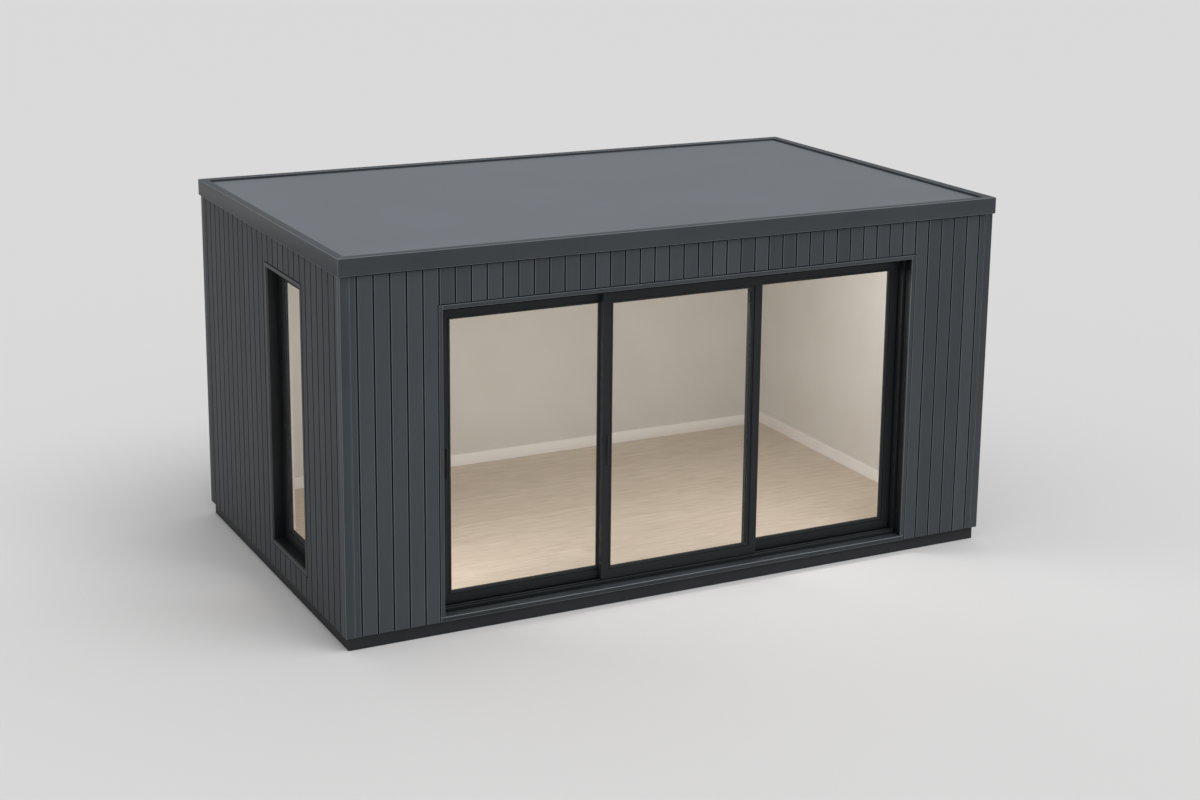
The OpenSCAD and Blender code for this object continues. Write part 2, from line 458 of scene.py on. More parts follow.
@dataclass(frozen=True)
class OakPlanks(Finish):
    """Pale oak planks under matt lacquer: long grain along X, each plank its own tone."""

    light: str = "#d6c8b7"
    dark: str = "#bba994"
    pore: str = "#a5917b"
    grain_mm: Triple = (420.0, 18.0, 18.0)
    grain_part: float = 0.30
    grain_depth_mm: float = 0.25
    tone_part: float = 0.20
    # Real pores are under 0.5 mm wide: they are drawn as flecks 20 mm wide so that they show.
    pore_mm: Triple = (190.0, 20.0, 20.0)
    pore_part: float = 0.42
    pore_span: Pair = (0.42, 0.72)
    roughness: Pair = (0.42, 0.56)

    def dress(self, tree: bpy.types.NodeTree, shader: bpy.types.Node) -> None:
        """Adds plank tone, long grain and short pores.

        Args:
            tree: The material's node tree.
            shader: Its Principled BSDF node.
        """
        grain = self.noise(tree, self.grain_mm)
        pores = self.noise(tree, self.pore_mm, detail=4.0, offset=2.3)
        tone = maths(tree, "MULTIPLY", attribute(tree, "tone"), self.tone_part)
        tone = maths(tree, "ADD", self.between(tree, grain, 0.0, self.grain_part), tone)
        wood = self.blend(tree, tone, self.light, self.dark)
        flecks = self.between(tree, pores, 0.0, self.pore_part, self.pore_span)
        feed(
            tree,
            shader,
            {
                "Base Color": mix(tree, flecks, wood, linear(self.pore)),
                "Roughness": self.between(tree, grain, *self.roughness),
                "Normal": self.bump(tree, grain, self.grain_depth_mm, 0.15),
            },
        )


@dataclass(frozen=True)
class RolledPaint(Finish):
    """Emulsion rolled on plaster: warm white, flat, with the roller's soft stipple."""

    colour: str = "#dad5ce"
    shade: str = "#d4cec6"
    stipple_mm: float = 5.0
    stipple_depth_mm: float = 0.3
    mottle_mm: float = 380.0
    roughness: Pair = (0.82, 0.94)

    def dress(self, tree: bpy.types.NodeTree, shader: bpy.types.Node) -> None:
        """Adds roller stipple and slow mottling.

        Args:
            tree: The material's node tree.
            shader: Its Principled BSDF node.
        """
        stipple = self.noise(tree, (self.stipple_mm,) * 3, detail=2.0)
        mottle = self.noise(tree, (self.mottle_mm,) * 3, detail=2.0, offset=4.4)
        tone = self.between(tree, mottle, 0.0, 1.0)
        feed(
            tree,
            shader,
            {
                "Base Color": self.blend(tree, tone, self.shade, self.colour),
                "Roughness": self.between(tree, stipple, *self.roughness),
                "Normal": self.bump(tree, stipple, self.stipple_depth_mm, 0.10),
            },
        )


@dataclass(frozen=True)
class BrushedGloss(Finish):
    """Satin wood paint brushed along a skirting board: whiter than the wall, with brush lines."""

    colour: str = "#f6f2ed"
    shade: str = "#efeae4"
    brush_mm: Triple = (220.0, 220.0, 3.0)
    brush_depth_mm: float = 0.15
    roughness: Pair = (0.34, 0.46)

    def dress(self, tree: bpy.types.NodeTree, shader: bpy.types.Node) -> None:
        """Adds brush lines that run level round the room.

        Args:
            tree: The material's node tree.
            shader: Its Principled BSDF node.
        """
        lines = self.noise(tree, self.brush_mm, detail=2.0)
        feed(
            tree,
            shader,
            {
                "Base Color": self.blend(tree, lines, self.shade, self.colour),
                "Roughness": self.between(tree, lines, *self.roughness),
                "Normal": self.bump(tree, lines, self.brush_depth_mm, 0.12),
            },
        )


@dataclass(frozen=True)
class WindowGlass(Finish):
    """Clear float glass: nearly unseen face on, with a faint cool tint and a clean mirror."""

    tint: str = "#7d8a88"
    alpha: float = 0.03
    refraction: float = 1.52
    wiped_mm: Triple = (160.0, 160.0, 260.0)
    roughness: Pair = (0.02, 0.06)

    def dress(self, tree: bpy.types.NodeTree, shader: bpy.types.Node) -> None:
        """Adds a slight see-through tint with faint wiping marks.

        Args:
            tree: The material's node tree.
            shader: Its Principled BSDF node.
        """
        wiped = self.noise(tree, self.wiped_mm, detail=2.0)
        feed(
            tree,
            shader,
            {
                "Base Color": linear(self.tint),
                "Alpha": self.alpha,
                "IOR": self.refraction,
                "Roughness": self.between(tree, wiped, *self.roughness),
            },
        )


@dataclass(frozen=True)
class Rubber(Finish):
    """Black extruded rubber of glazing gaskets: dull, with a faint bloom."""

    colour: str = "#17191a"
    bloom: str = "#222526"
    bloom_mm: float = 30.0
    roughness: Pair = (0.55, 0.72)

    def dress(self, tree: bpy.types.NodeTree, shader: bpy.types.Node) -> None:
        """Adds a faint bloom.

        Args:
            tree: The material's node tree.
            shader: Its Principled BSDF node.
        """
        bloom = self.noise(tree, (self.bloom_mm,) * 3)
        feed(
            tree,
            shader,
            {
                "Base Color": self.blend(tree, bloom, self.colour, self.bloom),
                "Roughness": self.between(tree, bloom, *self.roughness),
            },
        )


@dataclass(frozen=True)
class FoamSpacer(Finish):
    """Dark silicone foam that holds the panes apart: a soft line inside the frame."""

    colour: str = "#26282a"
    shade: str = "#1d1f20"
    cell_mm: float = 4.0
    roughness: Pair = (0.65, 0.80)

    def dress(self, tree: bpy.types.NodeTree, shader: bpy.types.Node) -> None:
        """Adds a fine foam mottle.

        Args:
            tree: The material's node tree.
            shader: Its Principled BSDF node.
        """
        foam = self.noise(tree, (self.cell_mm,) * 3, detail=2.0)
        feed(
            tree,
            shader,
            {
                "Base Color": self.blend(tree, foam, self.shade, self.colour),
                "Roughness": self.between(tree, foam, *self.roughness),
            },
        )


@dataclass(frozen=True)
class StrandBoard(Finish):
    """Pressed strand board of the hidden decks: flakes of pale and brown wood."""

    light: str = "#c7a77a"
    dark: str = "#8d6c44"
    flake_mm: Triple = (60.0, 22.0, 22.0)
    flake_depth_mm: float = 0.6
    roughness: Pair = (0.6, 0.8)

    def dress(self, tree: bpy.types.NodeTree, shader: bpy.types.Node) -> None:
        """Adds flakes of wood.

        Args:
            tree: The material's node tree.
            shader: Its Principled BSDF node.
        """
        flakes = self.noise(tree, self.flake_mm, detail=4.0)
        feed(
            tree,
            shader,
            {
                "Base Color": self.blend(tree, flakes, self.light, self.dark),
                "Roughness": self.between(tree, flakes, *self.roughness),
                "Normal": self.bump(tree, flakes, self.flake_depth_mm, 0.3),
            },
        )


BOARDS = PaintedBoards("painted_softwood_boards")
# Painted shade: a near-black sheet behind the boards, for the shade deep in the joints.
GROOVE_SHADE = GrooveShadeSheet("black_breather_sheet")
TRIM = PowderCoat("powder_coated_trim", "#3f4448", "#393e42", 0.50)
# Painted highlight: a lighter coat on the rounded edges of trims, angles and sill.
TRIM_HIGHLIGHT = PowderCoat("powder_coated_trim_painted_highlight", "#74797e", "#6c7176", 0.45)
# Painted shade: the trim's coat made darker on the sill, so that its top reads as shaded.
SILL_SHADED = PowderCoat("powder_coated_sill_painted_shade", "#303538", "#2c3033", 0.50)
FRAME = PowderCoat("powder_coated_door_frame", "#212527", "#1c2022", 0.45, gloss=0.25)
# Painted highlight: a lighter coat on the rounded edges of the sill track.
FRAME_HIGHLIGHT = PowderCoat("powder_coated_frame_painted_highlight", "#3f4446", "#393e40", 0.42)
# Reveals and jambs: a dark coat, made darker still as painted shade for the shade that lies in
# them.
REVEAL_SHADED = PowderCoat("powder_coated_reveal_dark_and_shaded", "#191c1e", "#151819", 0.55, gloss=0.2)
# Painted shade: the head track coated near-black for the shadow under the head trim.
HEAD_SHADED = PowderCoat("powder_coated_head_painted_shade", "#0c0e0f", "#090b0c", 0.60, gloss=0.1)
SKIRT = PowderCoat("coated_plinth_skirt", "#2a2d30", "#25282b", 0.60)
BLACK = PowderCoat("black_coated_pull", "#0e0f10", "#0a0b0c", 0.32, gloss=0.5)
ROOFING = RoofMembrane("rubber_roof_membrane")
OAK = OakPlanks("lacquered_oak_planks")
PLASTER = RolledPaint("rolled_emulsion_on_plaster")
SKIRTING = BrushedGloss("brushed_satin_skirting_paint")
GLASS = WindowGlass("clear_float_glass")
GASKET = Rubber("glazing_gasket_rubber")
SPACER = FoamSpacer("dark_foam_spacer")
STRANDS = StrandBoard("pressed_strand_board")


# --------------------------------------------------------------- mesh helpers

SHARP_ANGLE = math.radians(40)  # edges sharper than this are rounded
FLAT_ANGLE = math.radians(1)  # faces that meet flatter than this become one
SAME_POINT = 0.02 * MM  # corners nearer than this become one


def add_box(bm: bmesh.types.BMesh, low: Vector, high: Vector) -> None:
    """Adds a closed box to a mesh.

    Args:
        bm: The mesh.
        low: Its lowest corner.
        high: Its highest corner.
    """
    place = Matrix.Translation((low + high) / 2) @ Matrix.Diagonal((*(high - low), 1))
    bmesh.ops.create_cube(bm, size=1.0, matrix=place)


def mesh_from(bm: bmesh.types.BMesh, name: str) -> bpy.types.Mesh:
    """Turns a bmesh into a mesh and frees it.

    Args:
        bm: The bmesh.
        name: The new mesh's name.

    Returns:
        The mesh.
    """
    mesh = bpy.data.meshes.new(name)
    bm.to_mesh(mesh)
    bm.free()
    return mesh


def new_object(name: str, mesh: bpy.types.Mesh) -> bpy.types.Object:
    """Links a mesh to the scene as an object at the origin.

    Args:
        name: The object's name.
        mesh: Its mesh.

    Returns:
        The object.
    """
    thing = bpy.data.objects.new(name, mesh)
    bpy.context.scene.collection.objects.link(thing)
    return thing


def settle(thing: bpy.types.Object) -> bpy.types.Object:
    """Turns an object's modifiers into plain mesh and removes them.

    Args:
        thing: The object.

    Returns:
        The same object with its final mesh.
    """
    bpy.context.view_layer.update()
    graph = bpy.context.evaluated_depsgraph_get()
    mesh = bpy.data.meshes.new_from_object(
        thing.evaluated_get(graph), preserve_all_data_layers=True, depsgraph=graph
    )
    thing.modifiers.clear()
    thing.data = mesh
    return thing


def round_edges(
    thing: bpy.types.Object, width: float, segments: int = 2, marked: bool = False
) -> bpy.types.Object:
    """Rounds an object's sharp edges so that they catch the light.

    Args:
        thing: The object.
        width: The rounding's width in metres.
        segments: How many faces make the rounding.
        marked: Whether the rounding's faces go to a second material slot.

    Returns:
        The same object, with plain mesh.
    """
    bevel = thing.modifiers.new("edges", "BEVEL")
    bevel.width = width
    bevel.segments = segments
    bevel.limit_method = "ANGLE"
    bevel.angle_limit = SHARP_ANGLE
    bevel.use_clamp_overlap = True
    bevel.harden_normals = True
    if marked:
        for _ in range(2):
            thing.data.materials.append(None)
        bevel.material = 1
    for face in thing.data.polygons:
        face.use_smooth = True
    return settle(thing)


def copy_of_nodes(name: str, nodes: tuple[str, ...]) -> bpy.types.Object:
    """Copies CAD nodes into one clean object whose flat faces are whole again.

    Args:
        name: The new object's name.
        nodes: The CAD nodes to copy.

    Returns:
        The new object.
    """
    bm = bmesh.new()
    for node in nodes:
        bm.from_mesh(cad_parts[node].data)
    bmesh.ops.remove_doubles(bm, verts=bm.verts, dist=SAME_POINT)
    bmesh.ops.dissolve_limit(bm, angle_limit=FLAT_ANGLE, verts=bm.verts, edges=bm.edges)
    return new_object(name, mesh_from(bm, name))


def dress(
    thing: bpy.types.Object,
    finish: Finish,
    body: str,
    stands_for: tuple[str, ...] = (),
    edges: Finish | None = None,
) -> bpy.types.Object:
    """Gives a finished piece its material, its body and the nodes it stands for.

    Args:
        thing: The piece.
        finish: Its finish.
        body: The body it rides on.
        stands_for: CAD nodes that it replaces.
        edges: The finish of its rounded edges, where that differs.

    Returns:
        The piece.
    """
    if edges is None:
        thing.data.materials.clear()
        thing.data.materials.append(finish.material())
    else:
        thing.data.materials[0] = finish.material()
        thing.data.materials[1] = edges.material()
    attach(thing, body)
    if stands_for:
        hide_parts(*stands_for)
    log.info("%s: %d faces", thing.name, len(thing.data.polygons))
    return thing


def finish_node(node: str, finish: Finish) -> None:
    """Gives a CAD node that is shown as it is a finish.

    Args:
        node: The node's name.
        finish: The finish.
    """
    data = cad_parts[node].data
    data.materials.clear()
    data.materials.append(finish.material())


def rounded_copy(
    name: str,
    nodes: tuple[str, ...],
    finish: Finish,
    body: str = POD,
    width: float = 1.5 * MM,
    edges: Finish | None = None,
) -> bpy.types.Object:
    """Stands a copy with rounded edges in for CAD nodes.

    Args:
        name: The piece's name.
        nodes: The CAD nodes it stands for.
        finish: Its finish.
        body: The body it rides on.
        width: The rounding's width in metres.
        edges: The finish of the rounding, where that differs.

    Returns:
        The piece.
    """
    thing = round_edges(copy_of_nodes(name, nodes), width, marked=edges is not None)
    return dress(thing, finish, body, nodes, edges)


# -------------------------------------------------------------------- placing


class Facing(Enum):
    """The pod's four sides; each value is the side's turn about Z from the front, in degrees."""

    FRONT = 0
    RIGHT = 90
    BACK = 180
    LEFT = 270

    def place(self, distance: float) -> Matrix:
        """Gives the matrix from a side's own coordinates to the pod's.

        A side's X runs to the right as seen from outside, its Y runs into the building
        and its Z is up.

        Args:
            distance: How far the side's Y = 0 plane stands from the middle of the pod.

        Returns:
            The matrix.
        """
        turn = Matrix.Rotation(math.radians(self.value), 4, "Z")
        return turn @ Matrix.Translation((0, -distance, 0))


@dataclass(frozen=True)
class Opening:
    """A hole in a side, in that side's own coordinates."""

    left: float
    right: float
    bottom: float
    top: float

    def grown(self, margin: float) -> Opening:
        """Gives the opening with a margin all round."""
        return Opening(
            self.left - margin, self.right + margin, self.bottom - margin, self.top + margin
        )


# --------------------------------------------------------------------- boards

MARK_STRIDE = 97  # keeps the tones of differently marked runs apart


@dataclass(frozen=True)
class Run:
    """Neighbouring boards that share their ends.

    Board n lies between joints n and n + 1, unless start or end cuts it narrower. A
    mark sets the tones of boards apart that have the same number.
    """

    first: int
    count: int
    bottom: float
    top: float
    start: float
    end: float
    mark: int = 0


@dataclass(frozen=True)
class BoardLayer:
    """Lays boards with Geometry Nodes: a blank on every board's foot, stretched to fit.

    The blank has no width or length of its own. Its vertices say which side and which
    end of the board they belong to, and the tree moves them there, so that every
    board keeps the same arris.
    """

    thickness: float
    arris: float
    joint: float
    pitch: float
    first_joint: float
    seed: int
    arris_steps: int = 3
    # The flanks take the painted shade from this many times the arris below the board's face.
    dark_from: float = 1.6

    def blank(self) -> bpy.types.Object:
        """Makes the board blank.

        Returns:
            An object whose mesh has the float attributes side (-1 or 1), end (0 or 1)
            and edge (1 on the long arris for its painted highlight, -1 down the flanks for
            their painted shade).
        """
        quarter = [math.pi / 2 * i / self.arris_steps for i in range(self.arris_steps + 1)]
        # The third value of each point is its painted light: 1 for the highlight on the arris, -1
        # for the shade down the flanks.
        half = [(0.0, self.thickness, -1.0), (0.0, self.arris * self.dark_from, -1.0)]
        half += [
            (self.arris * (1 - math.cos(a)), self.arris * (1 - math.sin(a)), math.sin(a))
            for a in quarter
        ]
        half.append((self.arris * 2, 0.0, 0.0))
        outline = [(-1, inset, depth, painted_light) for inset, depth, painted_light in half]
        outline += [(1, -inset, depth, painted_light) for inset, depth, painted_light in reversed(half)]
        bm = bmesh.new()
        side = bm.verts.layers.float.new("side")
        end = bm.verts.layers.float.new("end")
        edge = bm.verts.layers.float.new("edge")
        rings: list[list[bmesh.types.BMVert]] = []
        for z in (0, 1):
            ring = []
            for sign, offset, depth, painted_light in outline:
                vert = bm.verts.new((sign + offset, depth, z))
                vert[side] = sign
                vert[end] = z
                vert[edge] = painted_light
                ring.append(vert)
            rings.append(ring)
        for i in range(len(outline)):
            j = (i + 1) % len(outline)
            bm.faces.new((rings[0][i], rings[0][j], rings[1][j], rings[1][i]))
        bm.faces.new(rings[0])
        bm.faces.new(rings[1])
        bmesh.ops.recalc_face_normals(bm, faces=bm.faces)
        for vert in bm.verts:
            vert.co.x -= vert[side]
            vert.co.z -= vert[end]
        return new_object("board_blank", mesh_from(bm, "board_blank"))

    def tree(self) -> bpy.types.NodeTree:
        """Builds the laying tree the first time it is asked for.

        Returns:
            The node tree.
        """
        name = "lay_boards"
        if name in bpy.data.node_groups:
            return bpy.data.node_groups[name]
        tree = bpy.data.node_groups.new(name, "GeometryNodeTree")
        face = tree.interface
        face.new_socket("Geometry", in_out="OUTPUT", socket_type="NodeSocketGeometry")
        sockets = (
            ("Geometry", "Geometry"),
            ("Blank", "Object"),
            ("First Joint", "Float"),
            ("Pitch", "Float"),
            ("Joint Width", "Float"),
            ("Seed", "Int"),
            ("Finish", "Material"),
        )
        for label, kind in sockets:
            face.new_socket(label, in_out="INPUT", socket_type=f"NodeSocket{kind}")
        given = add(tree, "NodeGroupInput").outputs

        def stored(label: str, kind: str = "FLOAT") -> bpy.types.NodeSocket:
            """Reads a named attribute."""
            node = add(tree, "GeometryNodeInputNamedAttribute", {"Name": label}, data_type=kind)
            return node.outputs["Attribute"]

        def store(points: bpy.types.NodeSocket, label: str, value: object) -> bpy.types.NodeSocket:
            """Writes a named attribute on points."""
            node = add(
                tree,
                "GeometryNodeStoreNamedAttribute",
                {"Geometry": points, "Name": label, "Value": value},
                data_type="FLOAT",
                domain="POINT",
            )
            return node.outputs["Geometry"]

        copies = add(
            tree,
            "GeometryNodeDuplicateElements",
            {"Geometry": given["Geometry"], "Amount": stored("count", "INT")},
            domain="POINT",
        )
        number = maths(tree, "ADD", stored("first", "INT"), copies.outputs["Duplicate Index"])
        gap = maths(tree, "MULTIPLY", given["Joint Width"], 0.5)
        past = maths(tree, "MULTIPLY", number, given["Pitch"])
        joint = maths(tree, "ADD", given["First Joint"], past)
        left = maths(tree, "MAXIMUM", maths(tree, "ADD", joint, gap), stored("start"))
        far_joint = maths(tree, "ADD", joint, given["Pitch"])
        right = maths(tree, "MINIMUM", maths(tree, "SUBTRACT", far_joint, gap), stored("end"))
        width = maths(tree, "SUBTRACT", right, left)
        length = maths(tree, "SUBTRACT", stored("top"), stored("bottom"))
        middle = maths(tree, "MULTIPLY", maths(tree, "ADD", left, right), 0.5)
        foot = add(tree, "ShaderNodeCombineXYZ", {"X": middle, "Z": stored("bottom")})
        mark = maths(tree, "MULTIPLY", stored("mark", "INT"), MARK_STRIDE)
        known = maths(tree, "ADD", number, mark)
        chance = add(
            tree,
            "FunctionNodeRandomValue",
            {"ID": known, "Seed": given["Seed"]},
            data_type="FLOAT",
        )
        points = copies.outputs["Geometry"]
        points = store(points, "half", maths(tree, "MULTIPLY", width, 0.5))
        points = store(points, "length", length)
        points = store(points, "tone", output(chance, "Value_001"))
        points = add(
            tree, "GeometryNodeSetPosition", {"Geometry": points, "Position": foot.outputs[0]}
        ).outputs[0]
        blank = add(tree, "GeometryNodeObjectInfo", {"Object": given["Blank"]})
        boards = add(
            tree,
            "GeometryNodeInstanceOnPoints",
            {"Points": points, "Instance": blank.outputs["Geometry"]},
        ).outputs[0]
        boards = add(tree, "GeometryNodeRealizeInstances", {"Geometry": boards}).outputs[0]
        stretch = add(
            tree,
            "ShaderNodeCombineXYZ",
            {
                "X": maths(tree, "MULTIPLY", stored("side"), stored("half")),
                "Z": maths(tree, "MULTIPLY", stored("end"), stored("length")),
            },
        )
        boards = add(
            tree, "GeometryNodeSetPosition", {"Geometry": boards, "Offset": stretch.outputs[0]}
        ).outputs[0]
        boards = add(
            tree, "GeometryNodeSetMaterial", {"Geometry": boards, "Material": given["Finish"]}
        ).outputs[0]
        add(tree, "NodeGroupOutput", {"Geometry": boards})
        return tree

    def lay(self, name: str, runs: list[Run], finish: Finish) -> bpy.types.Object:
        """Lays runs of boards and turns them into plain mesh.

        Args:
            name: The new object's name.
            runs: The runs of boards.
            finish: The boards' finish.

        Returns:
            The object, in the boards' own coordinates.
        """
        bm = bmesh.new()
        whole = {key: bm.verts.layers.int.new(key) for key in ("first", "count", "mark")}
        real = {key: bm.verts.layers.float.new(key) for key in ("bottom", "top", "start", "end")}
        for run in runs:
            vert = bm.verts.new((0, 0, run.bottom))
            for key, layer in (*whole.items(), *real.items()):
                vert[layer] = getattr(run, key)
        thing = new_object(name, mesh_from(bm, name))
        blank = self.blank()
        tree = self.tree()
        layer = thing.modifiers.new("boards", "NODES")
        layer.node_group = tree
        values = {
            "Blank": blank,
            "First Joint": self.first_joint,
            "Pitch": self.pitch,
            "Joint Width": self.joint,
            "Seed": self.seed,
            "Finish": finish.material(),
        }
        for item in tree.interface.items_tree:
            if item.in_out == "INPUT" and item.name in values:
                layer[item.identifier] = values[item.name]
        settle(thing)
        bpy.data.objects.remove(blank)
        return thing


@dataclass
class BoardedWall:
    """One side's vertical boards with the near-black sheet behind their joints that paints their
    shade.

    Board 0 starts one strip's width in from the left corner trim; a narrow strip fills
    each end. The boards stop short of the roof trim, the corner trims and any opening,
    so that the near-black sheet shows round each as a line of painted shade.
    """

    name: str
    facing: Facing
    nodes: tuple[str, ...]
    boards: int
    seed: int
    opening: Opening | None = None
    strip: float = 50 * MM
    joint: float = 10 * MM
    board_depth: float = 14 * MM
    arris: float = 2.4 * MM
    corner_gap: float = 2.5 * MM
    opening_gap: float = 7 * MM
    top_gap: float = 8 * MM
    sheet_overlap: float = 0.5 * MM
    face_within: float = 0.1 * MM
    distance: float = field(init=False)
    half_span: float = field(init=False)
    bottom: float = field(init=False)
    top: float = field(init=False)

    def __post_init__(self) -> None:
        """Takes the wall's place from its CAD slabs."""
        back = self.facing.place(0).inverted()
        corners = [back @ corner for node in self.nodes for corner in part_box(node)]
        self.distance = -min(c.y for c in corners)
        self.half_span = max(c.x for c in corners)
        self.bottom = min(c.z for c in corners)
        self.top = max(c.z for c in corners)

    def runs(self) -> list[Run]:
        """Works out the runs of boards round the opening.

        Returns:
            The runs.
        """
        start = -self.half_span + self.corner_gap
        end = -start
        foot, head = self.bottom, self.top - self.top_gap
        if self.opening is None:
            return [Run(-1, self.boards + 2, foot, head, start, end)]
        hole = self.opening.grown(self.opening_gap)
        pitch = self.layer().pitch
        first = math.floor((hole.left + self.half_span - self.strip) / pitch)
        last = math.floor((hole.right + self.half_span - self.strip) / pitch)
        made = [
            Run(-1, first + 1, foot, head, start, end),
            Run(last + 1, self.boards - last, foot, head, start, end),
            Run(first, last - first + 1, hole.top, head, start, end),
            Run(first, 1, max(foot, hole.bottom), hole.top, start, hole.left),
            Run(last, 1, max(foot, hole.bottom), hole.top, hole.right, end),
        ]
        if hole.bottom > foot:
            made.append(Run(first, last - first + 1, foot, hole.bottom, start, end))
        return made

    def layer(self) -> BoardLayer:
        """Gives the settings that lay this wall's boards."""
        inner = 2 * (self.half_span - self.strip)
        return BoardLayer(
            thickness=self.board_depth,
            arris=self.arris,
            joint=self.joint,
            pitch=inner / self.boards,
            first_joint=-inner / 2,
            seed=self.seed,
        )

    def build(self) -> list[bpy.types.Object]:
        """Builds and dresses the boards and their backing.

        Returns:
            The finished pieces.
        """
        place = self.facing.place(self.distance)
        boards = self.layer().lay(f"{self.name}_boards", self.runs(), BOARDS)
        boards.data.transform(place)
        # The sheet shows through the joints and gaps as painted shade.
        sheet = copy_of_nodes(f"{self.name}_breather_sheet", self.nodes)
        back = place.inverted()
        for vert in sheet.data.vertices:
            local = back @ vert.co
            if local.y < self.face_within:
                local.y = self.board_depth - self.sheet_overlap
                vert.co = place @ local
        return [
            dress(boards, BOARDS, POD, self.nodes),
            dress(sheet, GROOVE_SHADE, POD),
        ]


# ------------------------------------------------------------------ lofted frames

FACE_EASE = 2 * MM  # insets this near a frame's face width move with its inner edge
SLOT_STEPS = 12  # faces round each end of a round-ended body
SOFT = 0.3  # where the middle of an eased corner lies, as a part of the ease


@dataclass(frozen=True)
class Loft:
    """Carries a section round a closed outline, in a side's own coordinates.

    The section is a list of inset and depth pairs, taken from the outline inwards. On
    a frame's top and bottom, insets of face or more grow by rail_extra.
    """

    section: Section
    face: float = 0.0
    rail_extra: float = 0.0

    def round_frame(self, bm: bmesh.types.BMesh, hole: Opening) -> None:
        """Adds a mitred rectangular frame whose section is a closed loop.

        Args:
            bm: The mesh.
            hole: The frame's outer edges.
        """
        rings = []
        for inset, depth in self.section:
            inner = hole.grown(-inset)
            extra = self.rail_extra if inset >= self.face - FACE_EASE else 0.0
            foot, head = inner.bottom + extra, inner.top - extra
            corners = (
                (inner.left, foot),
                (inner.right, foot),
                (inner.right, head),
                (inner.left, head),
            )
            rings.append([bm.verts.new((x, depth, z)) for x, z in corners])
        self.skin(bm, rings, closed=True)

    def round_slot(
        self, bm: bmesh.types.BMesh, x: float, z: float, width: float, height: float
    ) -> None:
        """Adds a round-ended body whose section runs from its back face to its front face.

        Args:
            bm: The mesh.
            x: Its middle, across.
            z: Its middle, up.
            width: Its full width.
            height: Its full height.
        """
        rings = []
        for inset, depth in self.section:
            radius = width / 2 - inset
            reach = height / 2 - width / 2
            ring = []
            for end in (1, -1):
                for i in range(SLOT_STEPS + 1):
                    turn = math.pi * (i / SLOT_STEPS) + (0 if end == 1 else math.pi)
                    across = x + radius * math.cos(turn)
                    up = z + end * reach + radius * math.sin(turn)
                    ring.append(bm.verts.new((across, depth, up)))
            rings.append(ring)
        self.skin(bm, rings, closed=False)

    def skin(
        self, bm: bmesh.types.BMesh, rings: list[list[bmesh.types.BMVert]], closed: bool
    ) -> None:
        """Joins rings of vertices with faces.

        Args:
            bm: The mesh.
            rings: The rings, in the section's order.
            closed: Whether the last ring joins the first; if not, both ends are capped.
        """
        made = []
        pairs = zip(rings, rings[1:] + rings[:1]) if closed else zip(rings, rings[1:])
        for near, far in pairs:
            count = len(near)
            for i in range(count):
                j = (i + 1) % count
                made.append(bm.faces.new((near[i], near[j], far[j], far[i])))
        if not closed:
            made.append(bm.faces.new(rings[0]))
            made.append(bm.faces.new(rings[-1]))
        bmesh.ops.recalc_face_normals(bm, faces=made)


def millimetres(*pairs: Pair) -> Section:
    """Turns a section in millimetres into metres."""
    return tuple((inset * MM, depth * MM) for inset, depth in pairs)


def opening_of(node: str, facing: Facing) -> Opening:
    """Gives a CAD node's outer edges on its side.

    Args:
        node: The node's name.
        facing: The side that it is on.

    Returns:
        The edges in the side's own coordinates.
    """
    back = facing.place(0).inverted()
    a, b = (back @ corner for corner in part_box(node))
    return Opening(min(a.x, b.x), max(a.x, b.x), min(a.z, b.z), max(a.z, b.z))


def outer_face(node: str, facing: Facing) -> float:
    """Gives how far a CAD node's outer face stands from the middle of the pod."""
    back = facing.place(0).inverted()
    return -min((back @ corner).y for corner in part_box(node))


def bordered(depth: float, face: float, bead: float) -> Section:
    """Gives the section of a glazed frame: a flat face, a groove and a sloped bead.

    Args:
        depth: The frame's full depth in millimetres.
        face: The width of its flat face in millimetres.
        bead: The width of groove and bead together in millimetres.

    Returns:
        The section in metres, a closed loop.
    """
    edge, ease, lip_ease, toe = 1.6, 1.2, 0.8, 0.6
    groove, floor, lip, foot, heel = 4.0, 9.0, 4.0, 9.4, 10.4
    front = (
        (0, edge),
        (edge * SOFT, edge * SOFT),
        (edge, 0),
        (face - ease, 0),
        (face - ease * SOFT, ease * SOFT),
        (face, ease),
        (face, floor),
        (face + groove, floor),
        (face + groove, lip + lip_ease),
        (face + groove + lip_ease, lip),
        (face + bead - toe, foot),
        (face + bead, heel),
    )
    rear = tuple((inset, depth - gone) for inset, gone in reversed(front))
    return millimetres(*front, *rear)


